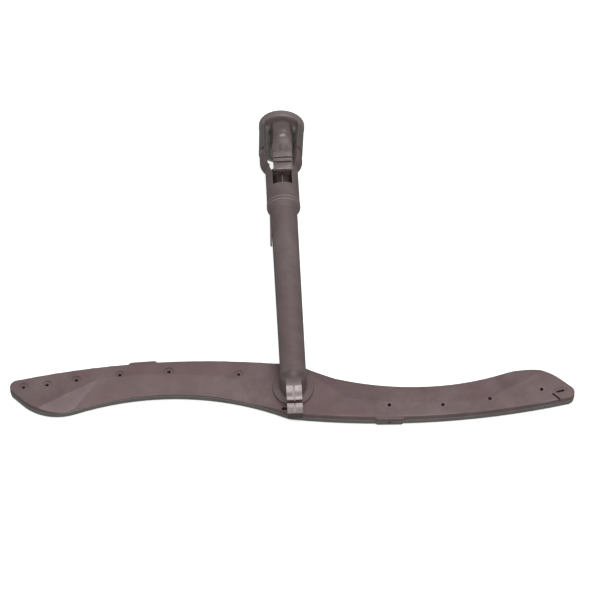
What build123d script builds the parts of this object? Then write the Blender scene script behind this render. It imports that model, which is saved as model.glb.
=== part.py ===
from build123d import *
import math
import os

os.makedirs("parts", exist_ok=True)

# Layout, in millimetres: origin in the middle of the docking bore's mouth, +Y out of the mouth, +Z up
reach = 251.5  # bore mouth to the arm's spin axis, along the tube
tube_height = 22.0  # tube axis above the arm's flat top
tube_lean = 4.15  # the tube runs off the docking axis by this angle, degrees
bend_place = 24.0  # bore mouth to the bend
rest_turn = 0.45  # arm's angle about the spin axis at rest, degrees

# Arm plan: the right blade, from the spin axis; the left one is the same turned half round, but longer
waist_x = 93.0  # deepest place of the hollow edge
waist_y = 5.5
waist_radius = 238.0
belly_x = 61.0  # widest place of the bowed edge
belly_y = -26.2
belly_radius = 670.0
bulge_x = 198.7  # corner between the hollow edge and the slanted end
bulge_round = 44.0
tip_x = 237.6  # corner between the slanted end and the bowed edge
tip_round = 6.5
root_round = 20.0  # corner between the blades
left_extra = 1.7  # the left blade is longer by this

# Arm shells
arm_height = 11.2
upper_height = 5.2
parting_ledge = 0.5  # the lower shell stands out this far at the weld
arm_wall = 2.0
arm_roof = 1.8
arm_floor = 1.8
edge_round = 1.0
keel_round = 0.9
facet_x = 98.0  # middle of the crease where the top starts to slope to the hollow edge
facet_y = -12.0
facet_radius = 400.0
facet_width = 17.5
facet_drop = 4.0
facet_ends = [(40.0, -5.0, -35.0), (178.0, 4.0, 30.0)]  # where the slope runs out: x, y and angle
facet_run = 10.0
hub_boss_width = 2.5
hub_boss_height = 1.0

# Spray nozzles: distance along the blade and distance in from its bowed edge
left_nozzles = [(220.3, 8.8), (201.4, 10.7), (177.7, 10.5), (142.6, 10.3), (102.5, 10.3), (45.1, 13.1)]
right_nozzles = [(78.2, 11.7), (121.7, 10.0), (160.1, 11.6), (202.8, 13.1)]
nozzle_radius = 1.45
spot_radius = 4.0
spot_depth = 0.35
spot_tilt = 8.0
fan_x = 218.1  # short fan slot at the right tip
fan_inset = 8.4
fan_length = 7.0
fan_width = 2.0
fan_turn = 16.0
fan_dish_length = 11.5
fan_dish_width = 5.6
fan_dish_depth = 0.5
slit_x = 216.4  # long slit that opens the right tip's bowed edge
slit_inset = 1.5
slit_length = 14.0
slit_width = 1.6
slit_turn = -42.0
port_x = -6.0  # small slot beside the hub
port_inset = 4.0
port_length = 6.0
port_width = 2.6
drive_stations = [(78.5, 0), (124.5, 180)]  # drive jets on the bowed edges: distance and blade turn
drive_length = 24.0
drive_width = 6.0
drive_stand_out = 1.1
drive_bottom = 1.0  # above the arm's underside
drive_top = 0.9  # below the arm's top
drive_jet_radius = 1.2
drive_jet_rise = 18.0

# Hub bearing
sleeve_radius = 10.0  # bearing sleeve of the nut
hub_play = 0.3
axial_play = 0.3
washer_thickness = 1.0
washer_width = 3.4
stem_length = 10.0
stem_play = 0.1
nut_bore_radius = 6.5
nut_end_wall = 2.4
nut_flange_radius = 15.0
nut_flange_height = 3.2
nut_grips = 8
nut_grip_radius = 3.2
nut_grip_depth = 1.3
water_ports = 4
water_port_width = 7.0

# Feed tube
tube_front_radius = 10.5
tube_rear_radius = 11.55
tube_wall = 1.9
neck_radius = 11.0
neck_bore_radius = 8.6
flange_radius = 16.7
flange_edge = 1.5
flange_rise = 1.2
flange_root_radius = 12.4
flange_round = 0.6
side_rib_length = 38.0
side_rib_height = 3.0
side_rib_stand_out = 0.6  # at the socket, more towards its end
side_rib_splay = 1.6
side_rib_chamfer = 1.4

# Wire clip ahead of the elbow
clip_width = 12.4
clip_top = 1.0  # above the tube axis
clip_reach = 36.4  # ahead of the spin axis
clip_front_height = 9.2
clip_root_height = 12.6
clip_round = 1.6
clip_split_width = 0.9
clip_split_depth = 1.8
wire_radius = 1.75
wire_play = 0.1
wire_reach = 25.6  # wire centre ahead of the spin axis
wire_depth = 4.4  # wire centre below the clip's top
clip_mouth = 3.0
dimple_reach = 18.8
dimple_radius = 2.0
dimple_depth = 0.5

# Socket at the rear of the feed tube, distances from the bore's mouth
socket_radius = 14.3
socket_bore_radius = 12.0
socket_rear = 38.5
socket_bottom = 76.0
socket_front = 85.5
shoulder_length = 3.0
shoulder_round = 2.2
bead_radius = 0.7
bead_stand_out = 0.3
bead_places = [80.4, 83.6]
pip_radius = 1.0
pip_place = 69.5
lug_radius = 18.8
lug_wall = 2.3
lug_rear = 26.6
lug_round = 7.0
cheek_half_angle = 40.0  # side walls reach this far above the level of the axis
floor_angle = -86.0  # the right wall reaches down to here, counted from +X towards +Z
notch_rear_width = 25.0  # latch notch in the socket's top, narrowing from its mouth
notch_narrow = 53.0
notch_width = 16.4
notch_front = 66.0
notch_floor = 6.0  # above the tube axis
notch_rib_width = 0.9
notch_rib_start = 59.0

# Docking head
mouth_depth = 10.0  # rim face to bore mouth
rim_radius = 20.5
rim_height = 6.5
rim_round = 2.0
funnel_radius = 17.4
bore_radius = 8.2
bore_depth = 19.0
barrel_radius = 10.0
barrel_end = 24.0
barrel_end_round = 2.5
throat_radius = 6.8  # narrow neck between the barrel and the plug
throat_bore_radius = 5.2
plug_start = 43.0
plug_taper = 3.0
plug_end = 74.0
trumpet_round = 5.0
cheek_end_radius = 19.4
cheek_wall = 2.2
cheek_step = 0.4  # the cup starts this far inside the rim
cup_floor = 18.5  # the cup is closed below as far as here
seam = 2.2  # gap between the cheeks and the socket's lugs
guide_place = 47.0
guide_length = 3.0
land_length = 2.4
land_play = 0.2
ring_width = 2.6
ring_squeeze = 0.06
ring_groove_depth = 0.1
dome_radius = 10.2
dome_place = 19.0
dome_top = 17.6

# Snap tongue on the docking head
tongue_gap = 0.6  # above the socket's top
tongue_thickness = 2.0
tongue_tip = 56.3
tongue_aside = 1.2  # to the right of the docking axis
tongue_root_width = 20.0
tongue_tip_width = 16.0
ridge_height = 0.9
ridges = [(38.0, 42.6), (44.8, 47.0), (50.6, 56.3)]
ridge_round = 0.35
rib_count = 5
rib_pitch = 3.2
rib_width = 0.9
rib_rear = 26.0
catch_width = 13.0
catch_thickness = 3.2
catch_depth = 2.2

# Values shared by several pieces
tube_frame = Pos(0, -bend_place, 0) * Rot(0, 0, tube_lean) * Pos(0, bend_place, 0)
tube_hub = Pos(0, -reach, -tube_height)
hub = tube_frame * tube_hub
arm_rest = hub * Rot(0, 0, rest_turn - tube_lean)
hub_hole_radius = sleeve_radius + hub_play
flange_seat = washer_thickness + axial_play
nut_seat = -arm_height - axial_play - washer_thickness
land_radius = socket_bore_radius - land_play
tongue_under = socket_radius + tongue_gap
tongue_top = tongue_under + tongue_thickness
waist_centre = Vector(waist_x, waist_y + waist_radius)
belly_centre = Vector(belly_x, belly_y + belly_radius)
slack = 1.0  # how far a cut runs past the faces it opens


def turned(points, rounds=()):
    """Ring about Y from a profile of (radius, y) points; rounds are (point number, radius) pairs."""
    corners = [Vector(*point) for point in points]
    profile = make_face(Polyline(*corners, close=True))
    for number, radius in rounds:
        profile = fillet(profile.vertices().sort_by_distance(corners[number])[0], radius)
    return revolve(profile, Axis.Y)


def upright(points, rounds=()):
    """Ring about the spin axis from a profile of (radius, z) points above the arm's top."""
    return Rot(90, 0, 0) * turned(points, rounds)


def sector(angles, y_from, y_to):
    """Wedge about the axis through angles less than half a turn apart, counted from +X towards +Z."""
    far = 4 * rim_radius
    rays = [(far * math.cos(math.radians(angle)), far * math.sin(math.radians(angle))) for angle in angles]
    wedge = make_face(Polyline((0, 0), *rays, close=True))
    return Pos(0, y_to, 0) * (Rot(90, 0, 0) * extrude(wedge, y_to - y_from))


def side_sectors(y_from, y_to):
    """What keeps a ring's left wall and its right wall with half the floor; the left half drains."""
    left = sector([180 - cheek_half_angle, 180, 180 + cheek_half_angle], y_from, y_to)
    right = sector([floor_angle, 0, cheek_half_angle], y_from, y_to)
    return left + right


def hollow_y(x):
    return waist_centre.Y - math.sqrt(waist_radius**2 - (x - waist_x) ** 2)


def bowed_y(x):
    return belly_centre.Y - math.sqrt(belly_radius**2 - (x - belly_x) ** 2)


def blade_root(inset):
    """Corner between the right blade's hollow edge and the left blade's bowed edge."""
    hollow = waist_radius + inset
    bowed = belly_radius - inset
    across = -belly_centre - waist_centre
    span = across.length
    along = (hollow**2 - bowed**2 + span**2) / (2 * span)
    aside = math.sqrt(hollow**2 - along**2)
    middle = waist_centre + across.normalized() * along
    sideways = across.normalized().rotate(Axis.Z, 90) * aside
    return min((middle + sideways, middle - sideways), key=lambda corner: corner.length)


def meet_circle(start, along, centre, radius):
    """Where a line through a start near the circle meets it."""
    offset = start - centre
    half = offset.dot(along)
    spread = math.sqrt(half**2 - offset.dot(offset) + radius**2)
    return start + along * min((-half - spread, -half + spread), key=abs)


def blade_end(inset, extra):
    """Corners of a blade's slanted end: at the hollow edge and at the bowed edge."""
    bulge_corner = Vector(bulge_x + extra, hollow_y(bulge_x + extra))
    tip_corner = Vector(tip_x + extra, bowed_y(tip_x + extra))
    slant = (tip_corner - bulge_corner).normalized()
    drawn_in = slant.rotate(Axis.Z, -90) * inset
    bulge = meet_circle(bulge_corner + drawn_in, slant, waist_centre, waist_radius + inset)
    tip = meet_circle(tip_corner + drawn_in, slant, belly_centre, belly_radius - inset)
    return bulge, tip


def arm_plan(inset=0.0):
    """Outline of both blades, drawn in by the inset all round."""
    root = blade_root(inset)
    outline = []
    corners = []
    for extra, turn in ((0.0, 0), (left_extra, 180)):
        bulge, tip = blade_end(inset, extra)
        blade = [
            ThreePointArc(root, Vector(waist_x, waist_y - inset), bulge),
            Line(bulge, tip),
            ThreePointArc(tip, Vector(belly_x, belly_y + inset), -root),
        ]
        outline += [Rot(0, 0, turn) * edge for edge in blade]
        for corner, radius in ((root, root_round), (bulge, bulge_round), (tip, tip_round)):
            corners.append((corner.rotate(Axis.Z, turn), radius))
    plan = make_face(outline)
    for corner, radius in corners:
        plan = fillet(plan.vertices().sort_by_distance(corner)[0], radius - inset)
    return plan


def post(radius, height):
    return Cylinder(radius, height, align=(Align.CENTER, Align.CENTER, Align.MIN))


def layer(plan, z_from, z_to):
    return Pos(0, 0, z_from) * extrude(plan, z_to - z_from)


def both_blades(cut):
    return cut + Rot(0, 0, 180) * cut


def facet_cut():
    """What is planed off the right blade's top along its hollow edge, running out at both ends."""
    slope = facet_drop / facet_width
    inner = facet_radius - 3 * facet_width
    outer = facet_radius + facet_width
    profile = [
        (inner, (inner - facet_radius) * slope),
        (outer, (outer - facet_radius) * slope),
        (outer, arm_height),
        (inner, arm_height),
    ]
    cut = Pos(facet_x, facet_y + facet_radius, 0) * upright(profile)
    reach_over = 2 * tip_x
    above = Box(reach_over, reach_over, reach_over, align=(Align.CENTER, Align.CENTER, Align.MIN))
    fall = math.degrees(math.atan2(facet_drop, facet_run))
    for x, y, angle in facet_ends:
        cut &= Pos(x, y, 0) * Rot(0, 0, angle) * Rot(-fall, 0, 0) * above
    return cut


def spot_cut(x, inset):
    """Slanted spot face and jet hole."""
    spot = Pos(0, 0, -spot_depth) * post(spot_radius, arm_height)
    jet = Cylinder(nozzle_radius, arm_height)
    return Pos(x, bowed_y(x) + inset, 0) * Rot(spot_tilt, 0, 0) * (spot + jet)


def slot_cut(x, inset, turn, length, width, depth):
    place = Pos(x, bowed_y(x) + inset, -depth) * Rot(0, 0, turn)
    return place * extrude(SlotOverall(length, width), depth + slack)


def arm_upper_shell():
    facets = both_blades(facet_cut())
    shell = layer(arm_plan(parting_ledge), -upper_height, 0)
    shell = fillet(shell.faces().sort_by(Axis.Z)[-1].edges(), edge_round) - facets
    for x, turn in drive_stations:
        shell += drive_pad(x, turn, -upper_height, -drive_top)
    hollow = layer(arm_plan(parting_ledge + arm_wall), -upper_height, -arm_roof)
    shell -= hollow - Pos(0, 0, -arm_roof) * facets
    boss_bottom = -arm_roof - hub_boss_height
    shell += Pos(0, 0, boss_bottom) * post(hub_hole_radius + hub_boss_width, hub_boss_height)
    shell -= Cylinder(hub_hole_radius, 2 * arm_height)
    for x, inset in right_nozzles:
        shell -= spot_cut(x, inset)
    for x, inset in left_nozzles:
        shell -= Rot(0, 0, 180) * spot_cut(x, inset)
    shell -= slot_cut(fan_x, fan_inset, fan_turn, fan_length, fan_width, upper_height)
    shell -= slot_cut(fan_x, fan_inset, fan_turn, fan_dish_length, fan_dish_width, fan_dish_depth)
    shell -= slot_cut(slit_x, slit_inset, slit_turn, slit_length, slit_width, upper_height - slack)
    shell -= slot_cut(port_x, port_inset, 0, port_length, port_width, upper_height)
    return shell


def drive_place(x, turn):
    """Middle of a drive jet on a bowed edge, its local Y pointing into the blade."""
    lean = math.degrees(math.asin((x - belly_x) / belly_radius))
    return Rot(0, 0, turn) * Pos(x, bowed_y(x), 0) * Rot(0, 0, lean)


def drive_pad(x, turn, z_from, z_to):
    inward = drive_width / 2 - drive_stand_out
    pad = layer(SlotOverall(drive_length, drive_width), z_from, z_to)
    return drive_place(x, turn) * Pos(0, inward, 0) * pad


def arm_lower_shell():
    shell = layer(arm_plan(), -arm_height, -upper_height)
    shell = fillet(shell.faces().sort_by(Axis.Z)[0].edges(), keel_round)
    for x, turn in drive_stations:
        shell += drive_pad(x, turn, -arm_height + drive_bottom, -upper_height)
    shell -= layer(arm_plan(parting_ledge + arm_wall), -arm_height + arm_floor, -upper_height)
    shell += Pos(0, 0, -arm_height + arm_floor) * post(hub_hole_radius + hub_boss_width, hub_boss_height)
    shell -= Cylinder(hub_hole_radius, 3 * arm_height)
    for x, turn in drive_stations:
        jet = Rot(90 - drive_jet_rise, 0, 0) * Cylinder(drive_jet_radius, 3 * drive_width)
        shell -= drive_place(x, turn) * Pos(0, 0, (arm_floor - arm_height - upper_height) / 2) * jet
    return shell


def washer(bottom):
    inner = hub_hole_radius
    outer = inner + washer_width
    top = bottom + washer_thickness
    return upright([(inner, bottom), (outer, bottom), (outer, top), (inner, top)])


def hub_nut():
    bottom = nut_seat - nut_flange_height
    stem_radius = neck_bore_radius - stem_play
    stem_top = flange_seat + stem_length
    nut = upright(
        [
            (0, bottom),
            (nut_flange_radius, bottom),
            (nut_flange_radius, nut_seat),
            (sleeve_radius, nut_seat),
            (sleeve_radius, flange_seat),
            (stem_radius, flange_seat),
            (stem_radius, stem_top),
            (nut_bore_radius, stem_top),
            (nut_bore_radius, bottom + nut_end_wall),
            (0, bottom + nut_end_wall),
        ]
    )
    grip = Cylinder(nut_grip_radius, 6 * nut_flange_height)
    grip_ring = nut_flange_radius + nut_grip_radius - nut_grip_depth
    for turn in range(nut_grips):
        nut -= Rot(0, 0, turn * 360 / nut_grips) * Pos(grip_ring, 0, bottom) * grip
    port_bottom = -arm_height + arm_floor + hub_boss_height
    port_top = -arm_roof - hub_boss_height
    port_height = port_top - port_bottom
    port_reach = sleeve_radius + slack
    port = Box(port_reach, water_port_width, port_height, align=(Align.MIN, Align.CENTER, Align.MIN))
    for turn in range(water_ports):
        nut -= Rot(0, 0, turn * 360 / water_ports) * Pos(0, 0, port_bottom) * port
    return nut


def clip():
    """Split wire clip, drawn from the side: y ahead of the spin axis is negative, z from the tube axis."""
    root = neck_bore_radius
    corners = [
        (-root, clip_top),
        (-clip_reach, clip_top),
        (-clip_reach, clip_top - clip_front_height),
        (-root, clip_top - clip_root_height),
    ]
    side = make_face(Polyline(*corners, close=True))
    front_corners = side.vertices().sort_by(Axis.X)[:2]
    side = fillet(front_corners, clip_round)
    wire_z = clip_top - wire_depth
    side -= Pos(-wire_reach, wire_z) * Circle(wire_radius + wire_play)
    mouth = Rectangle(clip_mouth, wire_depth + slack, align=(Align.CENTER, Align.MIN))
    side -= Pos(-wire_reach, wire_z) * mouth
    body = Plane.YZ * extrude(side, clip_width / 2, both=True)
    split = Box(clip_split_width, clip_reach, clip_split_depth, align=(Align.CENTER, Align.MAX, Align.MAX))
    body -= Pos(0, -neck_radius, clip_top) * split
    dimple = Sphere(dimple_radius)
    for side_x in (-clip_width / 4, clip_width / 4):
        body -= Pos(side_x, -dimple_reach, clip_top + dimple_radius - dimple_depth) * dimple
    return Pos(0, -reach, 0) * body


def socket_lugs():
    """Cup round the barrel at the socket's mouth, of which only the side walls stand."""
    web = -socket_rear - lug_wall
    inside = lug_radius - lug_wall - lug_round
    cup = turned(
        [
            (lug_radius, -lug_rear),
            (lug_radius, web),
            (inside, web),
            (inside, -socket_rear),
            (lug_radius - lug_wall, -socket_rear),
            (lug_radius - lug_wall, -lug_rear),
        ],
        [(1, lug_round), (4, lug_round - lug_wall)],
    )
    return cup & side_sectors(web, -lug_rear)


def latch_notch():
    """Notch for the snap tongue's catch, with a thin rib left standing at its front."""
    rear = -socket_rear + slack
    plan = make_face(
        Polyline(
            (-notch_rear_width / 2, rear),
            (notch_rear_width / 2, rear),
            (notch_width / 2, -notch_narrow),
            (notch_width / 2, -notch_front),
            (-notch_width / 2, -notch_front),
            (-notch_width / 2, -notch_narrow),
            close=True,
        )
    )
    rib_length = notch_front - notch_rib_start
    plan -= Pos(0, -notch_front) * Rectangle(notch_rib_width, rib_length, align=(Align.CENTER, Align.MIN))
    return Pos(0, 0, notch_floor) * extrude(plan, socket_radius)


def feed_tube():
    shoulder = -socket_front - shoulder_length
    tube = turned(
        [
            (0, -reach),
            (tube_front_radius, -reach),
            (tube_rear_radius, shoulder),
            (socket_radius, -socket_front),
            (socket_radius, -socket_rear),
            (0, -socket_rear),
        ],
        [(2, shoulder_round), (3, shoulder_round)],
    )
    bead = Rot(90, 0, 0) * Torus(socket_radius + bead_stand_out - bead_radius, bead_radius)
    for place in bead_places:
        tube += Pos(0, -place, 0) * bead
    tube += Pos(0, -pip_place, socket_radius - pip_radius / 2) * Sphere(pip_radius)
    tube += socket_lugs()
    rib_depth = side_rib_stand_out + tube_wall / 2
    rib = Box(rib_depth, side_rib_length, side_rib_height, align=(Align.MIN, Align.MAX, Align.CENTER))
    rib = chamfer(rib.edges().filter_by(Axis.Z).group_by(Axis.Y)[0].sort_by(Axis.X)[0], side_rib_chamfer)
    rib_place = Pos(-tube_rear_radius - side_rib_stand_out, -socket_front, 0)
    tube += rib_place * Rot(0, 0, -side_rib_splay) * rib
    tube += Pos(0, -reach, 0) * Sphere(neck_radius)
    rise = flange_seat + flange_edge
    neck = upright(
        [
            (0, flange_seat),
            (flange_radius, flange_seat),
            (flange_radius, rise),
            (flange_root_radius, rise + flange_rise),
            (neck_radius, rise + flange_rise),
            (neck_radius, tube_height),
            (0, tube_height),
        ],
        [(2, flange_round)],
    )
    tube += tube_hub * neck
    tube += clip()
    bore = turned(
        [
            (0, -reach),
            (tube_front_radius - tube_wall, -reach),
            (tube_rear_radius - tube_wall, -socket_bottom),
            (socket_bore_radius, -socket_bottom),
            (socket_bore_radius, -socket_rear + slack),
            (0, -socket_rear + slack),
        ]
    )
    tube -= bore
    tube -= Pos(0, -reach, 0) * Sphere(neck_bore_radius)
    tube -= tube_hub * post(neck_bore_radius, tube_height)
    tube -= latch_notch()
    return tube_frame * tube


def tongue():
    """Snap tongue with its dome, thumb ridges and catch, over the barrel."""
    root = -dome_place
    tip = -tongue_tip
    plan = make_face(
        Polyline(
            (-tongue_root_width / 2, root),
            (tongue_root_width / 2, root),
            (tongue_tip_width / 2, tip),
            (-tongue_tip_width / 2, tip),
            close=True,
        )
    )
    plate = Pos(0, 0, tongue_under) * extrude(plan, tongue_thickness)
    grip = Pos(0, 0, tongue_top) * extrude(plan, ridge_height)
    first_ridge = -ridges[0][0]
    for rear, front in ridges:
        bar = Pos(0, -rear, tongue_top) * Box(
            tongue_root_width, front - rear, ridge_height, align=(Align.CENTER, Align.MAX, Align.MIN)
        )
        bar = fillet(bar.edges().filter_by(Axis.X).group_by(Axis.Z)[-1], ridge_round)
        plate += bar & grip
    for number in range(rib_count):
        x = (number - (rib_count - 1) / 2) * rib_pitch
        rib_length = -rib_rear - first_ridge
        rib = Box(rib_width, rib_length, ridge_height, align=(Align.CENTER, Align.MAX, Align.MIN))
        plate += Pos(x, -rib_rear, tongue_top) * rib
    catch = Box(catch_width, catch_thickness, catch_depth, align=(Align.CENTER, Align.MIN, Align.MAX))
    plate += Pos(0, tip + slack, tongue_under) * catch
    return plate + Pos(0, root, dome_top - dome_radius) * Sphere(dome_radius)


def land(start, length):
    """Ring on the plug that is guided by the socket's bore."""
    end = start + length
    middle = (bore_radius + barrel_radius) / 2
    return turned([(middle, -end), (land_radius, -end), (land_radius, -start), (middle, -start)])


def ring_place():
    """Rear end of the groove that holds the rubber ring."""
    return plug_end - land_length - ring_width


def plug():
    """Throat and plug on the tube axis, with the lands beside the rubber ring."""
    body = turned(
        [
            (0, -plug_end),
            (barrel_radius, -plug_end),
            (barrel_radius, -plug_start - plug_taper),
            (throat_radius, -plug_start),
            (throat_radius, -barrel_end + barrel_end_round),
            (0, -barrel_end + barrel_end_round),
        ]
    )
    body += land(guide_place, guide_length)
    body += land(ring_place() - land_length, land_length)
    body += land(plug_end - land_length, land_length)
    return tube_frame * body


def water_way():
    """Funnel, docking bore and throat on the docking axis, then the plug's bore on the tube axis."""
    throat_start = -bore_depth - bore_radius + throat_bore_radius
    way = turned(
        [
            (0, mouth_depth),
            (funnel_radius, mouth_depth),
            (bore_radius, 0),
            (bore_radius, -bore_depth),
            (throat_bore_radius, throat_start),
            (0, throat_start),
        ]
    )
    widen = -plug_start - plug_taper
    onward = turned(
        [
            (0, throat_start + slack),
            (throat_bore_radius, throat_start + slack),
            (throat_bore_radius, widen),
            (bore_radius, widen - plug_taper),
            (bore_radius, -plug_end - slack),
            (0, -plug_end - slack),
        ]
    )
    return way + tube_frame * onward


def docking_head():
    rim_back = mouth_depth - rim_height
    head = turned(
        [
            (0, mouth_depth),
            (rim_radius, mouth_depth),
            (rim_radius, rim_back),
            (barrel_radius, rim_back),
            (barrel_radius, -barrel_end),
            (0, -barrel_end),
        ],
        [(1, rim_round / 2), (2, rim_round), (3, trumpet_round), (4, barrel_end_round)],
    )
    head += plug()
    cheek_end = -lug_rear + seam
    cup_start = rim_back + slack
    cup = turned(
        [
            (rim_radius - cheek_wall, cup_start),
            (rim_radius - cheek_step, cup_start),
            (cheek_end_radius, cheek_end),
            (cheek_end_radius - cheek_wall, cheek_end),
        ]
    )
    floor_middle = (floor_angle - 180) / 2
    floor = sector([floor_middle - cheek_half_angle, floor_middle, floor_angle / 2], -cup_floor, cup_start)
    head += cup & (side_sectors(cheek_end, cup_start) + floor)
    head += Pos(tongue_aside, 0, 0) * tongue()
    return head - water_way()


def socket_o_ring():
    inner = barrel_radius + ring_groove_depth
    outer = socket_bore_radius - ring_squeeze
    rear = -ring_place() - ring_squeeze
    front = -ring_place() - ring_width + ring_squeeze
    section = (outer - inner) / 3
    return turned(
        [(inner, front), (outer, front), (outer, rear), (inner, rear)],
        [(1, section), (2, section)],
    )


pieces = {
    "feed_tube": feed_tube(),
    "docking_head": docking_head(),
    "socket_o_ring": tube_frame * socket_o_ring(),
    "hub_nut": hub * hub_nut(),
    "lower_thrust_washer": hub * washer(nut_seat),
    "upper_thrust_washer": hub * washer(0),
    "arm_upper_shell": arm_rest * arm_upper_shell(),
    "arm_lower_shell": arm_rest * arm_lower_shell(),
}
for name, piece in pieces.items():
    export_step(piece, f"parts/{name}.step")
    print(name, len(piece.solids()), round(piece.volume))
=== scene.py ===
import math

import bmesh
import bpy
from mathutils import Matrix, Vector


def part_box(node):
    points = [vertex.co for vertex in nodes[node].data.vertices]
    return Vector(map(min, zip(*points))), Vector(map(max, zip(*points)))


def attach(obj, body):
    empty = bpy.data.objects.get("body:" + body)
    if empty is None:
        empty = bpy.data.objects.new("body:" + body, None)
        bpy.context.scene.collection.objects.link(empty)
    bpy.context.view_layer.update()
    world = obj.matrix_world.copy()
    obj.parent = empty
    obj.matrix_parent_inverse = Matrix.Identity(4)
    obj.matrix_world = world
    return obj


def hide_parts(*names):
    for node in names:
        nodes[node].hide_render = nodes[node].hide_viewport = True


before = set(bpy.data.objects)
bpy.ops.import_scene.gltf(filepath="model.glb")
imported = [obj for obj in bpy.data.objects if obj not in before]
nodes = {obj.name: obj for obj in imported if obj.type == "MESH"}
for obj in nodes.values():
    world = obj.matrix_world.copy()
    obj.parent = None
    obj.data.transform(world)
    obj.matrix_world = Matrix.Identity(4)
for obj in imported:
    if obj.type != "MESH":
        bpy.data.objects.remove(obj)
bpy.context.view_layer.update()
print("frame loaded:", len(nodes), "nodes")

mm = 0.001

# the feed tube leans, in degrees, about a bend that lies so many mm ahead of the docking bore's mouth
tubeLine = dict(lean=4.15, bend=24.0)


# empty node group over a place, with number inputs; outputs are numbers, and vectors where named so
def newGroup(name, numbers, outputs, vectors=()):
    tree = bpy.data.node_groups.new(name, "ShaderNodeTree")
    tree.interface.new_socket("Place", in_out="INPUT", socket_type="NodeSocketVector")
    for label, value in numbers.items():
        socket = tree.interface.new_socket(label, in_out="INPUT", socket_type="NodeSocketFloat")
        socket.default_value = value
    for labels, kind in ((outputs, "NodeSocketFloat"), (vectors, "NodeSocketVector")):
        for label in labels:
            tree.interface.new_socket(label, in_out="OUTPUT", socket_type=kind)
    return tree, tree.nodes.new("NodeGroupInput"), tree.nodes.new("NodeGroupOutput")


def addNode(tree, kind, settings=(), values=(), links=()):
    node = tree.nodes.new(kind)
    for name, value in settings:
        setattr(node, name, value)
    for socket, value in values:
        node.inputs[socket].default_value = value
    for socket, source in links:
        tree.links.new(source, node.inputs[socket])
    return node


def addMath(tree, operation, a, b=None, clamp=False):
    node = addNode(tree, "ShaderNodeMath", [("operation", operation), ("use_clamp", clamp)])
    for number, part in enumerate((a, b)):
        if isinstance(part, (int, float)):
            node.inputs[number].default_value = part
        elif part is not None:
            tree.links.new(part, node.inputs[number])
    return node.outputs[0]


# product of several masks
def addProduct(tree, mask, *others):
    for other in others:
        mask = addMath(tree, "MULTIPLY", mask, other)
    return mask


# smooth step over a band of the source, from one share to the other
def addRamp(tree, source, band, shares=(0.0, 1.0)):
    node = addNode(
        tree,
        "ShaderNodeMapRange",
        [("interpolation_type", "SMOOTHSTEP")],
        [("From Min", band[0]), ("From Max", band[1]), ("To Min", shares[0]), ("To Max", shares[1])],
        [("Value", source)],
    )
    return node.outputs[0]


# mask over a length; its band is (where it starts, where it is full) in mm
def addBand(tree, source, band, share=1.0):
    return addRamp(tree, source, (band[0] * mm, band[1] * mm), (0.0, share))


# value that follows a run of (distance in mm, share) pairs
def addRun(tree, source, run):
    start, end = run[0][0], run[-1][0]
    ends = [("From Min", start * mm), ("From Max", end * mm)]
    even = addNode(tree, "ShaderNodeMapRange", values=ends, links=[("Value", source)])
    curve = addNode(tree, "ShaderNodeValToRGB", links=[("Fac", even.outputs[0])])
    stops = curve.color_ramp.elements
    for number, (distance, share) in enumerate(run):
        at = (distance - start) / (end - start)
        stop = stops[number] if number in (0, len(run) - 1) else stops.new(at)
        stop.position = at
        stop.color = (share, share, share, 1.0)
    return curve.outputs["Color"]


def addNoise(tree, place, scale, detail, rough=0.55):
    values = [("Detail", detail), ("Roughness", rough)]
    links = [("Vector", place)]
    if isinstance(scale, (int, float)):
        values.append(("Scale", scale))
    else:
        links.append(("Scale", scale))
    return addNode(tree, "ShaderNodeTexNoise", (), values, links).outputs["Fac"]


# one coordinate of a vector
def addAxis(tree, vector, axis):
    return addNode(tree, "ShaderNodeSeparateXYZ", links=[("Vector", vector)]).outputs[axis]


# distance of a place in a direction, plus a shift
def addDistance(tree, place, direction, shift):
    kind = [("operation", "DOT_PRODUCT")]
    reach = addNode(tree, "ShaderNodeVectorMath", kind, [(1, direction)], [(0, place)])
    return addMath(tree, "ADD", reach.outputs["Value"], shift)


# distance along the leaning tube from the docking bore's mouth
def addAlongTube(tree, place):
    lean, bend = math.radians(tubeLine["lean"]), tubeLine["bend"] * mm
    return addDistance(tree, place, (math.sin(lean), -math.cos(lean), 0.0), bend * (1 - math.cos(lean)))


# distance to the side of the tube's middle plane
def addAside(tree, place):
    lean, bend = math.radians(tubeLine["lean"]), tubeLine["bend"] * mm
    across = addDistance(tree, place, (math.cos(lean), math.sin(lean), 0.0), bend * math.sin(lean))
    return addMath(tree, "ABSOLUTE", across)


# distance to either side of one spot along the tube; the spot is in mm
def addAway(tree, along, spot):
    return addMath(tree, "ABSOLUTE", addMath(tree, "SUBTRACT", along, spot * mm))


# fine spark-eroded grain of the mould, with a slow swell of sink marks
grainSpread = dict(
    fineDetail=2.0,
    sinkScale=75.0,
    sinkDetail=2.0,
    patchScale=38.0,
    patchDetail=4.0,
    patchBand=(0.3, 0.7),
)


def makeMouldGrain(spread):
    tree, start, end = newGroup("mouldGrain", {"Grain Scale": 2200.0, "Sink": 0.4}, ["Height", "Gloss"])
    place = start.outputs["Place"]
    fine = addNoise(tree, place, start.outputs["Grain Scale"], spread["fineDetail"])
    broad = addNoise(tree, place, spread["sinkScale"], spread["sinkDetail"])
    sunk = addProduct(tree, broad, start.outputs["Sink"])
    tree.links.new(addMath(tree, "ADD", fine, sunk), end.inputs["Height"])
    patch = addNoise(tree, place, spread["patchScale"], spread["patchDetail"])
    tree.links.new(addRamp(tree, patch, spread["patchBand"]), end.inputs["Gloss"])
    return tree


# edge wear with painted highlight: edges turn pale where the rounded normal leaves the true one
edgeHighlightSpread = dict(
    samples=6,
    edgeBand=(0.995, 0.80),
    breakScale=260.0,
    breakDetail=4.0,
    breakBand=(0.30, 0.62),
    breakShares=(0.35, 1.0),
)


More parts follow.
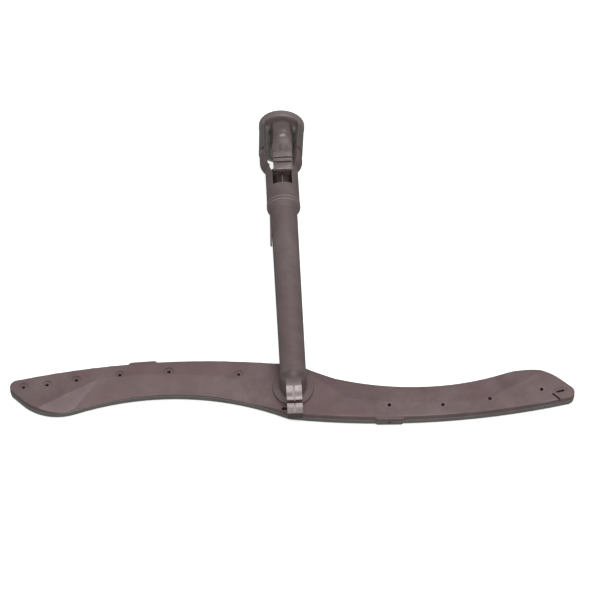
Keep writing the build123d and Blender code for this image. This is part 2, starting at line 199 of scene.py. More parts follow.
def makeEdgeRub(spread):
    tree, start, end = newGroup("edgeRub", {"Reach": 0.6 * mm}, ["Rub"], ["Rounded"])
    reach = start.outputs["Reach"]
    rounded = addNode(tree, "ShaderNodeBevel", [("samples", spread["samples"])], links=[("Radius", reach)])
    true = addNode(tree, "ShaderNodeNewGeometry")
    pair = [(0, rounded.outputs["Normal"]), (1, true.outputs["True Normal"])]
    near = addNode(tree, "ShaderNodeVectorMath", [("operation", "DOT_PRODUCT")], links=pair)
    edge = addRamp(tree, near.outputs["Value"], spread["edgeBand"])
    noise = addNoise(tree, start.outputs["Place"], spread["breakScale"], spread["breakDetail"])
    broken = addRamp(tree, noise, spread["breakBand"], spread["breakShares"])
    tree.links.new(addProduct(tree, edge, broken), end.inputs["Rub"])
    tree.links.new(rounded.outputs["Normal"], end.inputs["Rounded"])
    return tree


# painted shade: darker in grooves and corners where ambient occlusion is low, in a brown tone
recessShadeSpread = dict(
    samples=8,
    deepBand=(0.72, 0.25),
    unevenScale=420.0,
    unevenDetail=4.0,
    unevenBand=(0.25, 0.7),
    unevenShares=(0.55, 1.0),
)


def makeRecessGrime(spread):
    tree, start, end = newGroup("recessGrime", {"Reach": 3.0 * mm}, ["Grime"])
    reach = start.outputs["Reach"]
    shut = addNode(
        tree, "ShaderNodeAmbientOcclusion", [("samples", spread["samples"])], links=[("Distance", reach)]
    )
    deep = addRamp(tree, shut.outputs["AO"], spread["deepBand"])
    noise = addNoise(tree, start.outputs["Place"], spread["unevenScale"], spread["unevenDetail"])
    uneven = addRamp(tree, noise, spread["unevenBand"], spread["unevenShares"])
    tree.links.new(addProduct(tree, deep, uneven), end.inputs["Grime"])
    return tree


# dried water: pale film in clouds and a few drop rings, on faces that look up
filmSpread = dict(
    cloudDetail=6.0,
    cloudRough=0.62,
    cloudBand=(0.42, 0.72),
    upBand=(0.1, 0.9),
    dropScale=170.0,
    ringInside=(0.20, 0.26),
    ringOutside=(0.32, 0.26),
)


def makeWaterFilm(spread):
    tree, start, end = newGroup("waterFilm", {"Cloud Scale": 30.0}, ["Film", "Rings"])
    place = start.outputs["Place"]
    cloud = addNoise(tree, place, start.outputs["Cloud Scale"], spread["cloudDetail"], spread["cloudRough"])
    facing = addNode(tree, "ShaderNodeNewGeometry").outputs["Normal"]
    up = addRamp(tree, addAxis(tree, facing, "Z"), spread["upBand"])
    film = addProduct(tree, addRamp(tree, cloud, spread["cloudBand"]), up)
    tree.links.new(film, end.inputs["Film"])
    size = [("Scale", spread["dropScale"])]
    drops = addNode(tree, "ShaderNodeTexVoronoi", [("feature", "F1")], size, [("Vector", place)])
    inside, outside = (
        addRamp(tree, drops.outputs["Distance"], spread[band]) for band in ("ringInside", "ringOutside")
    )
    tree.links.new(addProduct(tree, inside, outside, film), end.inputs["Rings"])
    return tree


# painted shade that darkens the latch pocket under the tongue's tip; bands in mm
latchPocket = dict(level=(13.8, 13.2), side=(8.5, 8.2), rear=(51.0, 54.0), front=(66.2, 65.4))


def makePocketResidue(pocket):
    tree, start, end = newGroup("pocketResidue", {"Share": 1.0}, ["Residue"])
    place = start.outputs["Place"]
    along = addAlongTube(tree, place)
    mask = addProduct(
        tree,
        addBand(tree, addAxis(tree, place, "Z"), pocket["level"]),
        addBand(tree, addAside(tree, place), pocket["side"]),
        addBand(tree, along, pocket["front"]),
        addBand(tree, along, pocket["rear"]),
        start.outputs["Share"],
    )
    tree.links.new(mask, end.inputs["Residue"])
    return tree


mouldGrain = makeMouldGrain(grainSpread)
edgeRub = makeEdgeRub(edgeHighlightSpread)
waterFilm = makeWaterFilm(filmSpread)
recessGrime = makeRecessGrime(recessShadeSpread)
pocketResidue = makePocketResidue(latchPocket)
print("shader groups made")


def blankMaterial(name):
    material = bpy.data.materials.new(name)
    material.use_nodes = True
    tree = material.node_tree
    tree.nodes.clear()
    shader = tree.nodes.new("ShaderNodeBsdfPrincipled")
    out = tree.nodes.new("ShaderNodeOutputMaterial")
    tree.links.new(shader.outputs["BSDF"], out.inputs["Surface"])
    place = tree.nodes.new("ShaderNodeTexCoord").outputs["Object"]
    return material, tree, shader, place


def addGroup(tree, group, place, values):
    return addNode(tree, "ShaderNodeGroup", [("node_tree", group)], values, [("Place", place)])


def addMix(tree, mask, a, b):
    node = addNode(tree, "ShaderNodeMix", [("data_type", "RGBA")])
    tree.links.new(mask, node.inputs["Factor"])
    for socket, part in (("A", a), ("B", b)):
        target = [s for s in node.inputs if s.name == socket and s.type == "RGBA"][0]
        if isinstance(part, tuple):
            target.default_value = (*part, 1.0)
        else:
            tree.links.new(part, target)
    return [s for s in node.outputs if s.type == "RGBA"][0]


def addBump(tree, shader, grain, look, normal=None):
    values = [("Strength", look["bump"]), ("Distance", look["bumpDepth"] * mm)]
    bump = addNode(tree, "ShaderNodeBump", values=values, links=[("Height", grain.outputs["Height"])])
    if normal is not None:
        tree.links.new(normal, bump.inputs["Normal"])
    tree.links.new(bump.outputs["Normal"], shader.inputs["Normal"])


# painted highlight on the tops of the wire clip and on the two beads of the collar, and painted shade on the
# clip's blunt nose; lengths in mm
clipPadLightAndShade = dict(
    low=(0.24, 0.185, 0.19),
    high=(0.64, 0.54, 0.55),
    run=[
        (262.2, 0.65), (263.2, 0.90), (265.2, 0.74), (267.0, 0.55), (268.0, 0.36), (269.0, 0.20),
        (271.4, 0.08), (272.6, 0.34), (273.4, 0.70), (274.6, 0.62), (275.4, 0.14), (278.2, 0.14),
        (279.2, 0.36), (281.2, 0.50), (282.0, 0.40), (283.0, 0.12), (285.4, 0.12), (286.6, 0.0),
    ],
    mottleScale=330.0,
    mottleDetail=4.0,
    mottleBand=(0.35, 0.65),
    mottleShares=(-0.14, 0.14),
    start=(262.2, 262.6),
    top=(0.2, 0.9),
    beads=[80.4, 83.6],
    beadBand=(0.6, 0.18),
    beadShare=0.35,
    noseStart=(286.6, 287.2),
    noseTop=(0.6, -0.2),
    noseShare=0.55,
)


def addClipHighlightAndShade(tree, place, pads, brownShade, colour):
    along, height = addAlongTube(tree, place), addAxis(tree, place, "Z")
    noise = addNoise(tree, place, pads["mottleScale"], pads["mottleDetail"])
    mottle = addRamp(tree, noise, pads["mottleBand"], pads["mottleShares"])
    # painted highlight along the pads, from a run with a mottle
    highlightAndWear = addMath(tree, "ADD", addRun(tree, along, pads["run"]), mottle, clamp=True)
    mask = addProduct(tree, addBand(tree, along, pads["start"]), addBand(tree, height, pads["top"]))
    for bead in pads["beads"]:
        line = addBand(tree, addAway(tree, along, bead), pads["beadBand"], pads["beadShare"])
        mask = addMath(tree, "MAXIMUM", mask, line)
    colour = addMix(tree, mask, colour, addMix(tree, highlightAndWear, pads["low"], pads["high"]))
    nose = addProduct(
        tree,
        addBand(tree, height, pads["noseTop"]),
        addBand(tree, along, pads["noseStart"], pads["noseShare"]),
    )
    return addMix(tree, nose, colour, brownShade)  # painted shade on the nose's front face


# painted light in the clip's middle split, to lighten its shade, apart from the wire's groove and the nose;
# lengths in mm
clipSplitLight = dict(
    tone=(0.55, 0.46, 0.47),
    side=(0.6, 0.5),
    start=(262.2, 263.0),
    nose=(286.6, 286.2),
    wirePlace=277.1,
    wire=(1.7, 2.2),
    floor=(-1.2, -0.9),
)


def addSplitLight(tree, place, split, colour):
    along = addAlongTube(tree, place)
    mask = addProduct(
        tree,
        addBand(tree, addAside(tree, place), split["side"]),
        addBand(tree, along, split["start"]),
        addBand(tree, along, split["nose"]),
        addBand(tree, addAway(tree, along, split["wirePlace"]), split["wire"]),
        addBand(tree, addAxis(tree, place, "Z"), split["floor"]),
    )
    return addMix(tree, mask, colour, split["tone"])


# painted shade on the bend of the elbow, and a painted light strip below it that fades by height into the
# clip's pads; lengths in mm
elbowShadeAndLight = dict(
    # tone of the painted shade over the bend
    greyShade=(0.058, 0.050, 0.049),
    bendRun=[(252.0, 0.0), (255.0, 0.62), (257.5, 0.62), (259.8, 0.0)],
    bendFloor=(4.0, 7.0),
    # tone of the painted light strip
    pale=(0.60, 0.52, 0.53),
    strapRun=[(0.6, 0.0), (1.1, 0.45), (3.2, 0.27), (5.3, 0.11), (7.4, 0.0)],
    strapSide=(6.2, 5.9),
    strapRear=(256.5, 257.5),
    strapFront=(262.9, 262.6),
)


def addElbowShadeAndLight(tree, place, elbow, colour):
    along, height = addAlongTube(tree, place), addAxis(tree, place, "Z")
    # painted shade over the bend
    bend = addProduct(tree, addRun(tree, along, elbow["bendRun"]), addBand(tree, height, elbow["bendFloor"]))
    # painted light strip below the bend
    strap = addProduct(
        tree,
        addRun(tree, height, elbow["strapRun"]),
        addBand(tree, addAside(tree, place), elbow["strapSide"]),
        addBand(tree, along, elbow["strapRear"]),
        addBand(tree, along, elbow["strapFront"]),
    )
    return addMix(tree, strap, addMix(tree, bend, colour, elbow["greyShade"]), elbow["pale"])


# painted highlight on the bell's rim, painted shade on its cheeks, and painted light in a greenish tone inside
# the cup; bands in mm
bellLightAndShade = dict(
    # tone of the painted highlight on the rim
    highlightAndWear=(0.30, 0.24, 0.25),
    rimHighlightShare=0.38,
    rim=(1.5, 4.0),
    # tone of the painted shade on the cheeks
    greyShade=(0.07, 0.062, 0.058),
    greyShadeShare=0.50,
    cheek=(1.5, -1.0),
    # greenish painted light inside the cup
    limeAndFillLight=(0.46, 0.46, 0.44),
    cupLightShare=0.85,
    cupLightWall=(19.0, 18.4),
    cupLightTop=(9.0, 3.0),
    cupLightRear=(4.6, 3.8),
    cupLightFront=(-28.0, -24.0),
)


def addBellLightAndShade(tree, place, collar, colour):
    back, height = addAxis(tree, place, "Y"), addAxis(tree, place, "Z")
    acrossBore = [(1, (1.0, 0.0, 1.0))]
    flat = addNode(tree, "ShaderNodeVectorMath", [("operation", "MULTIPLY")], acrossBore, [(0, place)])
    spoke = [(0, flat.outputs["Vector"])]
    out = addNode(tree, "ShaderNodeVectorMath", [("operation", "LENGTH")], links=spoke)
    # painted light inside the cup, in a greenish tone
    inCup = addProduct(
        tree,
        addBand(tree, out.outputs["Value"], collar["cupLightWall"], collar["cupLightShare"]),
        addBand(tree, height, collar["cupLightTop"]),
        addBand(tree, back, collar["cupLightRear"]),
        addBand(tree, back, collar["cupLightFront"]),
    )
    # painted highlight on the rim
    colour = addMix(tree, addBand(tree, back, collar["rim"], collar["rimHighlightShare"]), colour, collar["highlightAndWear"])
    # painted shade on the cheeks
    colour = addMix(tree, addBand(tree, back, collar["cheek"], collar["greyShadeShare"]), colour, collar["greyShade"])
    return addMix(tree, inCup, colour, collar["limeAndFillLight"])


# satin grey plastic of the mouldings, lengths in mm; each moulding has its own tone
satinLook = dict(
    deep=(0.140, 0.085, 0.089),
    pale=(0.166, 0.103, 0.108),
    limeAndFillLight=(0.42, 0.40, 0.38),
    # the next tone is for edge wear with painted highlight, the one after it is the brown of painted shade
    wearAndHighlightTone=(0.34, 0.29, 0.29),
    brownShade=(0.030, 0.017, 0.015),
    mottleScale=55.0,
    mottleDetail=5.0,
    mottleBand=(0.32, 0.68),
    # share and reach of the painted shade in recesses
    recessShade=0.75,
    recessShadeReach=3.0,
    grainScale=2300.0,
    sink=0.5,
    cloudScale=26.0,
    film=0.10,
    filmRough=0.5,
    rings=0.10,
    # share and reach of the edge wear with painted highlight
    edgeWearAndLight=0.55,
    edgeLightReach=0.35,
    rough=(0.42, 0.56),
    bump=0.22,
    bumpDepth=0.12,
    specular=0.5,
    ior=1.49,
)
mouldings = dict(
    arm_upper_shell=dict(satinLook),
    arm_lower_shell=dict(
        satinLook,
        deep=(0.138, 0.118, 0.114),
        pale=(0.164, 0.142, 0.136),
        # paler and stronger edge wear with painted highlight
        wearAndHighlightTone=(0.46, 0.42, 0.41),
        edgeWearAndLight=1.0,
    ),
    feed_tube=dict(
        satinLook,
        deep=(0.128, 0.085, 0.087),
        pale=(0.152, 0.102, 0.105),
        rough=(0.48, 0.60),
        # painted highlight and shade on the clip, painted light in its split, painted shade and light at the
        # elbow
        clip=clipPadLightAndShade,
        split=clipSplitLight,
        elbow=elbowShadeAndLight,
        # share of painted shade in the latch pocket
        pocketShadeShare=0.88,
    ),
    docking_head=dict(
        satinLook,
        deep=(0.128, 0.088, 0.088),
        pale=(0.154, 0.107, 0.107),
        # stronger edge wear with painted highlight
        wearAndHighlightTone=(0.44, 0.38, 0.38),
        edgeWearAndLight=1.0,
        edgeLightReach=0.5,
        # less painted shade in recesses, over a longer reach
        recessShade=0.22,
        recessShadeReach=4.0,
        rough=(0.34, 0.46),
        # painted highlight on the rim, painted shade on the cheeks, painted light in the cup
        collar=bellLightAndShade,
        # share of painted shade in the latch pocket
        pocketShadeShare=0.88,
    ),
    hub_nut=dict(satinLook, deep=(0.112, 0.088, 0.088), pale=(0.136, 0.108, 0.108), film=0.06),
)


def makeSatinPlastic(name, look):
    material, tree, shader, place = blankMaterial(name)
    grain = addGroup(tree, mouldGrain, place, [("Grain Scale", look["grainScale"]), ("Sink", look["sink"])])
    edgeWearAndLight = addGroup(tree, edgeRub, place, [("Reach", look["edgeLightReach"] * mm)])
    water = addGroup(tree, waterFilm, place, [("Cloud Scale", look["cloudScale"])])
    recessShade = addGroup(tree, recessGrime, place, [("Reach", look["recessShadeReach"] * mm)])
    noise = addNoise(tree, place, look["mottleScale"], look["mottleDetail"])
    colour = addMix(tree, addRamp(tree, noise, look["mottleBand"]), look["deep"], look["pale"])
    film = addProduct(tree, water.outputs["Film"], look["film"])
    colour = addMix(tree, film, colour, look["limeAndFillLight"])
    colour = addMix(tree, addProduct(tree, water.outputs["Rings"], look["rings"]), colour, look["limeAndFillLight"])
    # edges turn pale: wear with painted highlight
    colour = addMix(tree, addProduct(tree, edgeWearAndLight.outputs["Rub"], look["edgeWearAndLight"]), colour, look["wearAndHighlightTone"])
    # painted highlight on the clip's pads and beads, painted shade on its nose
    if "clip" in look:
        colour = addClipHighlightAndShade(tree, place, look["clip"], look["brownShade"], colour)
    # painted highlight on the tongue's bars
    if "bars" in look:
        colour = addMix(tree, addRun(tree, addAlongTube(tree, place), look["bars"]), colour, look["wearAndHighlightTone"])
    # painted shade in recesses, in a brown tone
    colour = addMix(tree, addProduct(tree, recessShade.outputs["Grime"], look["recessShade"]), colour, look["brownShade"])
    # painted light in the clip's split
    if "split" in look:
        colour = addSplitLight(tree, place, look["split"], colour)
    # painted shade on the elbow's bend, painted light below it
    if "elbow" in look:
        colour = addElbowShadeAndLight(tree, place, look["elbow"], colour)
    # painted highlight on the bell's rim, painted shade on its cheeks, painted light in its cup
    if "collar" in look:
        colour = addBellLightAndShade(tree, place, look["collar"], colour)
    # painted shade in the latch pocket
    if "pocketShadeShare" in look:
        pocket = addGroup(tree, pocketResidue, place, [("Share", look["pocketShadeShare"])])
        colour = addMix(tree, pocket.outputs["Residue"], colour, look["brownShade"])
    tree.links.new(colour, shader.inputs["Base Color"])
    gloss = addRamp(tree, grain.outputs["Gloss"], (0.0, 1.0), look["rough"])
    rough = addMath(tree, "ADD", gloss, addProduct(tree, film, look["filmRough"]), clamp=True)
    tree.links.new(rough, shader.inputs["Roughness"])
    addBump(tree, shader, grain, look, edgeWearAndLight.outputs["Rounded"])
    shader.inputs["Specular IOR Level"].default_value = look["specular"]
    shader.inputs["IOR"].default_value = look["ior"]
    return material


# black rubber of the seal, with a grey bloom
sealLook = dict(
    black=(0.012, 0.012, 0.013),
    bloom=(0.050, 0.050, 0.052),
    bloomScale=180.0,
    bloomDetail=5.0,
    bloomBand=(0.45, 0.75),
    grainScale=1600.0,
    sink=0.2,
    rough=(0.55, 0.78),
    bump=0.3,
    bumpDepth=0.1,
)


def makeSealRubber(look):
    material, tree, shader, place = blankMaterial("sealRubber")
    grain = addGroup(tree, mouldGrain, place, [("Grain Scale", look["grainScale"]), ("Sink", look["sink"])])
    noise = addNoise(tree, place, look["bloomScale"], look["bloomDetail"])
    bloom = addRamp(tree, noise, look["bloomBand"])
    tree.links.new(addMix(tree, bloom, look["black"], look["bloom"]), shader.inputs["Base Color"])
    tree.links.new(addRamp(tree, bloom, (0.0, 1.0), look["rough"]), shader.inputs["Roughness"])
    addBump(tree, shader, grain, look)
    return material


# cream low-friction plastic of the washers, paler in worn patches on their faces, with wear and painted
# highlight on their edges
bearingLook = dict(
    cream=(0.60, 0.58, 0.52),
    wearAndHighlightTone=(0.74, 0.73, 0.70),
    edgeLightReach=0.3,
    grainScale=900.0,
    sink=0.1,
    rough=(0.28, 0.42),
    bump=0.15,
    bumpDepth=0.05,
)


def makeBearingPlastic(look):
    material, tree, shader, place = blankMaterial("bearingPlastic")
    grain = addGroup(tree, mouldGrain, place, [("Grain Scale", look["grainScale"]), ("Sink", look["sink"])])
    edgeWearAndLight = addGroup(tree, edgeRub, place, [("Reach", look["edgeLightReach"] * mm)])
    gloss = grain.outputs["Gloss"]
    # paler in worn patches, and at edges with wear and painted highlight
    highlightAndWear = addMath(tree, "MAXIMUM", edgeWearAndLight.outputs["Rub"], gloss)
    tree.links.new(addMix(tree, highlightAndWear, look["cream"], look["wearAndHighlightTone"]), shader.inputs["Base Color"])
    tree.links.new(addRamp(tree, gloss, (0.0, 1.0), look["rough"]), shader.inputs["Roughness"])
    addBump(tree, shader, grain, look)
    return material


def paint(node, material):
    mesh = nodes[node].data
    mesh.materials.clear()
    mesh.materials.append(material)


for name, look in mouldings.items():
    paint(name, makeSatinPlastic("satin_" + name, look))
paint("socket_o_ring", makeSealRubber(sealLook))
bearing = makeBearingPlastic(bearingLook)
paint("upper_thrust_washer", bearing)
paint("lower_thrust_washer", bearing)
print("materials painted on", len(nodes), "nodes")


def finishPiece(name, shape, body, material, sharpAngle=35.0):
    mesh = bpy.data.meshes.new(name)
    bmesh.ops.recalc_face_normals(shape, faces=shape.faces)
    shape.to_mesh(mesh)
    shape.free()
    if "custom_normal" in mesh.attributes:  # the CAD mesh's own normals no longer fit
        mesh.attributes.remove(mesh.attributes["custom_normal"])
    mesh.shade_smooth()
    mesh.set_sharp_from_angle(angle=math.radians(sharpAngle))
    mesh.materials.append(material)
    piece = bpy.data.objects.new(name, mesh)
    bpy.context.scene.collection.objects.link(piece)
    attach(piece, body)
    return piece


# where the CAD tongue is cut off the bell, in mm; the shaped tongue takes its place
bellCut = dict(level=12.6, x=(-11.5, 13.0), y=(-58.0, -8.0), weld=0.001, flush=0.01)


def makeBell(cut, material):
    shape = bmesh.new()
    shape.from_mesh(nodes["docking_head"].data)
    bmesh.ops.remove_doubles(shape, verts=shape.verts, dist=cut["weld"] * mm)
    level = cut["level"] * mm

    def onTongue(face):
        spots = [vert.co for vert in face.verts]
        ranges = ((0, cut["x"]), (1, cut["y"]))
        within = all(low * mm <= spot[axis] <= high * mm for spot in spots for axis, (low, high) in ranges)
        return within and max(spot.z for spot in spots) > level

    def onRim(edge):
        return edge.is_boundary and all(abs(vert.co.z - level) < cut["flush"] * mm for vert in edge.verts)

    faces = [face for face in shape.faces if onTongue(face)]
    edges = list({edge for face in faces for edge in face.edges})
    verts = list({vert for face in faces for vert in face.verts})
    bmesh.ops.bisect_plane(
        shape,
        geom=verts + edges + faces,
        plane_co=(0.0, 0.0, level),
        plane_no=(0.0, 0.0, 1.0),
        clear_outer=True,
    )
    rim = [edge for edge in shape.edges if onRim(edge)]
    bmesh.ops.holes_fill(shape, edges=rim)
    print("bell cut:", len(faces), "faces of the tongue, stump rim of", len(rim), "edges")
    bell = finishPiece("docking_bell", shape, "feed", material)
    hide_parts("docking_head")


makeBell(bellCut, nodes["docking_head"].data.materials[0])

# snap tongue along the tube, from the barrel to its tip; lengths in mm, runs are (along, value) pairs
tongueShape = dict(
    root=-0.3,
    tip=54.4,
    tipLength=1.2,
    tipRound=0.9,
    aside=[(-3.3, 0.0), (3.0, 0.0), (14.0, 1.2), (30.0, 1.2), (55.4, 1.2)],
    halfWidth=[(-3.3, 10.6), (4.0, 10.5), (12.0, 10.3), (19.0, 10.2), (27.0, 9.3), (35.0, 8.6), (55.4, 8.4)],
    top=[
        (-0.3, 16.9), (0.5, 17.5), (3.0, 18.3), (8.0, 19.2), (12.0, 19.5), (15.0, 19.0),
        (19.0, 17.0), (23.0, 16.3), (28.0, 16.2), (34.0, 16.5), (55.4, 16.9),
    ],
    under=[(-3.3, 0.0), (12.0, 0.5), (20.0, 3.0), (24.0, 9.4), (30.0, 14.9), (55.4, 14.9)],
    squareness=[(-3.3, 2.6), (6.0, 2.6), (14.0, 2.7), (19.0, 3.0), (34.0, 4.2), (55.4, 4.6)],  # 2 is an ellipse
    boreClear=9.6,  # radius that the underside keeps clear of
    bars=[(34.65, 40.55), (41.75, 45.35), (47.15, 60.0)],  # the last bar runs out past the tip
    barSlope=0.3,
    barLift=0.7,
    barDip=2.2,
    barShoulder=4,
    fluteRun=(25.0, 34.4),
    fluteEnds=(1.5, 0.6),
    fluteAside=3.5,
    fluteBand=(0.27, 0.9),
    fluteDepth=0.5,
    keelBand=(0.28, 0.7),
    keelLift=0.4,
    catchRun=(50.7, 54.0),
    catchEnds=(0.3, 0.2),
    catchHalf=6.5,
    catchDepth=2.2,
    sections=280,
    crowding=0.75,  # below 1, the sections lie closer together toward the tip
    above=48,  # steps of a section over the top, and along the underside
    beneath=28,
)
tongueLook = dict(
    satinLook,
    deep=(0.122, 0.082, 0.083),
    pale=(0.146, 0.099, 0.100),
    # stronger edge wear with painted highlight
    wearAndHighlightTone=(0.44, 0.38, 0.38),
    edgeWearAndLight=1.0,
    edgeLightReach=0.7,
    # painted highlight on the bar tops and front edges, as shares along the tube
    bars=[
        (34.6, 0.0), (35.6, 0.16), (39.4, 0.18), (40.3, 0.06), (41.7, 0.0), (42.1, 0.28), (43.0, 0.20),
        (44.2, 0.0), (48.4, 0.0), (49.6, 0.10), (51.0, 0.18), (53.0, 0.26), (54.0, 0.06), (54.4, 0.0),
    ],
    # painted shade in the grooves between the bars
    recessShade=0.95,
    recessShadeReach=2.4,
    rough=(0.21, 0.27),
    bump=0.10,
    specular=0.75,
)


# smooth curve through a run of (along, value) pairs
def readRun(run, along):
    places = [place for place, value in run]
    number = max(0, min(len(run) - 2, sum(place <= along for place in places) - 1))
    slopes = []
    for k in (number, number + 1):
        before, after = run[max(k - 1, 0)], run[min(k + 1, len(run) - 1)]
        slopes.append((after[1] - before[1]) / (after[0] - before[0]))
    (start, low), (end, high) = run[number], run[number + 1]
    gap = end - start
    f = (along - start) / gap
    return (
        low * (2 * f ** 3 - 3 * f ** 2 + 1)
        + high * (3 * f ** 2 - 2 * f ** 3)
        + gap * (slopes[0] * (f ** 3 - 2 * f ** 2 + f) + slopes[1] * (f ** 3 - f ** 2))
    )


def easeStep(value, start, end):
    f = max(0.0, min(1.0, (value - start) / (end - start)))
    return f * f * (3 - 2 * f)


# 1 on a stretch, easing in and out over its two end lengths
def onStretch(along, stretch, ends):
    rear, front = stretch
    return easeStep(along, rear, rear + ends[0]) * (1 - easeStep(along, front - ends[1], front))


# outline of the tongue at one place: over its top from side to side, then back along its underside
def tongueSection(look, along):
    half, top, under, square, aside = (
        readRun(look[key], along) for key in ("halfWidth", "top", "under", "squareness", "aside")
    )
    slope, bars = look["barSlope"], look["bars"]
    onBar = max(onStretch(along, bar, (slope, slope)) for bar in bars)
    pastFirst = easeStep(along, bars[0][1] - slope, bars[0][1])
    lid = top + look["barLift"] - look["barDip"] * (1 - onBar) * pastFirst  # sinks between the bars
    tipTurn = easeStep(along, look["tip"] - look["tipLength"], look["tip"])
    tipFall = look["tipRound"] * (1 - math.sqrt(max(0.0, 1 - tipTurn ** 2)))
    onFlute = onStretch(along, look["fluteRun"], look["fluteEnds"])
    points = []
    for number in range(look["above"] + 1):
        turn = math.pi * (number / look["above"] - 0.5)
        t = half * math.copysign(abs(math.sin(turn)) ** (2 / square), turn)
        rise = abs(math.cos(turn)) ** (2 / square)
        z = under + (top - under) * rise + look["barLift"] * onBar * rise ** look["barShoulder"]
        fromFlute = abs(abs(t) - look["fluteAside"])
        z -= look["fluteDepth"] * onFlute * (1 - easeStep(fromFlute, *look["fluteBand"]))
        z += look["keelLift"] * onFlute * (1 - easeStep(abs(t), *look["keelBand"]))
        points.append((t, min(z, lid) - tipFall * rise))
    hook = look["catchDepth"] * onStretch(along, look["catchRun"], look["catchEnds"])
    for number in range(1, look["beneath"]):
        t = half * (1 - 2 * number / look["beneath"])
        arch = math.sqrt(max(0.0, look["boreClear"] ** 2 - (t + aside) ** 2))  # stays in the barrel's wall
        points.append((t, max(under, arch) - hook * (abs(t) <= look["catchHalf"])))
    return points


# skin over a row of rings, closed at both ends
def joinRings(shape, rings):
    count = len(rings[0])
    for before, after in zip(rings, rings[1:]):
        for k in range(count):
            nextK = (k + 1) % count
            shape.faces.new((before[k], before[nextK], after[nextK], after[k]))
    shape.faces.new(rings[0])
    shape.faces.new(rings[-1])


def makeTongue(look, material):
    lean, bend = math.radians(tubeLine["lean"]), tubeLine["bend"]
    shape = bmesh.new()
    rings = []
    for step in range(look["sections"] + 1):
        share = (step / look["sections"]) ** look["crowding"]
        along = look["root"] + (look["tip"] - look["root"]) * share
        ahead = bend - along
        centre = readRun(look["aside"], along) + max(0.0, ahead) * math.sin(lean)  # root on the docking axis
        ring = []
        for t, z in tongueSection(look, along):
            side = centre + t
            x = side * math.cos(lean) - ahead * math.sin(lean)
            y = -bend + side * math.sin(lean) + ahead * math.cos(lean)
            ring.append(shape.verts.new((x * mm, y * mm, z * mm)))
        rings.append(ring)
    joinRings(shape, rings)
    finishPiece("snap_tongue", shape, "feed", material)
    print("snap tongue made of", look["sections"], "sections")


makeTongue(tongueShape, makeSatinPlastic("satin_snap_tongue", tongueLook))

# white floor, just below the lowest piece by a drop in mm
floorLook = dict(size=6.0, drop=0.05, white=(0.94, 0.94, 0.94), glow=0.62, rough=0.9, specular=0.1)


def makeFloor(look):
    half = look["size"] / 2
    lowest = min(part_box(name)[0].z for name in nodes) - look["drop"] * mm
    corners = [(x, y, lowest) for x, y in ((-half, -half), (half, -half), (half, half), (-half, half))]
    mesh = bpy.data.meshes.new("floor")
    mesh.from_pydata(corners, [], [(0, 1, 2, 3)])
    floor = bpy.data.objects.new("floor", mesh)
    bpy.context.scene.collection.objects.link(floor)
    material, _, shader, _ = blankMaterial("paleFloor")
    shader.inputs["Base Color"].default_value = (*look["white"], 1.0)
    shader.inputs["Roughness"].default_value = look["rough"]
    shader.inputs["Specular IOR Level"].default_value = look["specular"]
    shader.inputs["Emission Color"].default_value = (1.0, 1.0, 1.0, 1.0)
    shader.inputs["Emission Strength"].default_value = look["glow"]
    mesh.materials.append(material)
    floor.visible_diffuse = False  # the floor shows white, but throws no light up under the blades
    floor.visible_glossy = False


makeFloor(floorLook)
print("floor laid")

studio = dict(
    paper=(0.96, 0.96, 0.96),
    sky=(0.90, 1.0, 0.97),
    skyPower=0.38,
    lamps=[
        dict(name="topBox", place=(0.12, -0.66, 1.06), size=0.5, power=8.4, tint=(1.0, 0.97, 0.96)),
        dict(name="backBox", place=(0.35, 0.55, 1.2), size=0.9, power=2.5, tint=(1.0, 0.99, 0.98)),
    ],
    aim=(0.02, -0.17, -0.012),
)


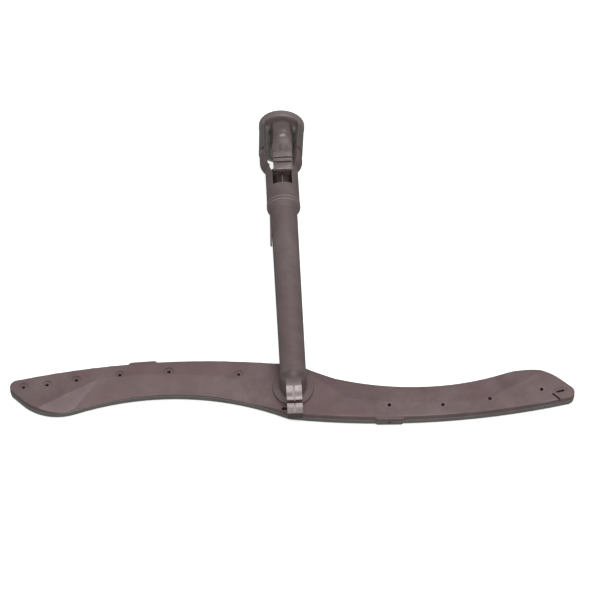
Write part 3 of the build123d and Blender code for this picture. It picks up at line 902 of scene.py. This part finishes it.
def makeStudio(look):
    scene = bpy.context.scene
    world = bpy.data.worlds.new("studio")
    world.use_nodes = True
    tree = world.node_tree
    dim = tree.nodes["Background"]
    dim.inputs["Color"].default_value = (*look["sky"], 1.0)
    dim.inputs["Strength"].default_value = look["skyPower"]
    paper = tree.nodes.new("ShaderNodeBackground")
    paper.inputs["Color"].default_value = (*look["paper"], 1.0)
    seen = tree.nodes.new("ShaderNodeLightPath")
    choice = tree.nodes.new("ShaderNodeMixShader")
    tree.links.new(seen.outputs["Is Camera Ray"], choice.inputs[0])
    tree.links.new(dim.outputs[0], choice.inputs[1])
    tree.links.new(paper.outputs[0], choice.inputs[2])
    tree.links.new(choice.outputs[0], tree.nodes["World Output"].inputs["Surface"])
    scene.world = world
    for lamp in look["lamps"]:
        data = bpy.data.lights.new(lamp["name"], "AREA")
        data.shape = "SQUARE"
        data.size = lamp["size"]
        data.energy = lamp["power"]
        data.color = lamp["tint"]
        box = bpy.data.objects.new(lamp["name"], data)
        box.location = lamp["place"]
        towards = Vector(look["aim"]) - Vector(lamp["place"])
        box.rotation_euler = towards.to_track_quat("-Z", "Y").to_euler()
        scene.collection.objects.link(box)
    scene.view_settings.view_transform = "Standard"
    scene.view_settings.look = "None"


makeStudio(studio)

# camera at the photograph's angle; angles in degrees, lengths in metres, focal length in pixels of the frame
shot = dict(
    azimuth=-1.1,
    elevation=56.3,
    roll=0.125,
    distance=1.3,
    aim=(0.0203, -0.17075, -0.012),
    focalPixels=1548.0,
    framePixels=600,
    sensor=36.0,
)


def makeCamera(look):
    azimuth, elevation, roll = (math.radians(look[key]) for key in ("azimuth", "elevation", "roll"))
    forward = Vector((
        math.sin(azimuth) * math.cos(elevation),
        math.cos(azimuth) * math.cos(elevation),
        -math.sin(elevation),
    ))
    level = Vector((math.cos(azimuth), -math.sin(azimuth), 0.0))
    upright = level.cross(forward)
    right = level * math.cos(roll) + upright * math.sin(roll)
    up = upright * math.cos(roll) - level * math.sin(roll)
    data = bpy.data.cameras.new("shot")
    data.sensor_width = look["sensor"]
    data.lens = look["focalPixels"] / look["framePixels"] * look["sensor"]
    camera = bpy.data.objects.new("shot", data)
    turn = Matrix((right, up, -forward)).transposed().to_4x4()
    camera.matrix_world = Matrix.Translation(Vector(look["aim"]) - forward * look["distance"]) @ turn
    bpy.context.scene.collection.objects.link(camera)
    bpy.context.scene.camera = camera


makeCamera(shot)
print("studio and camera ready")
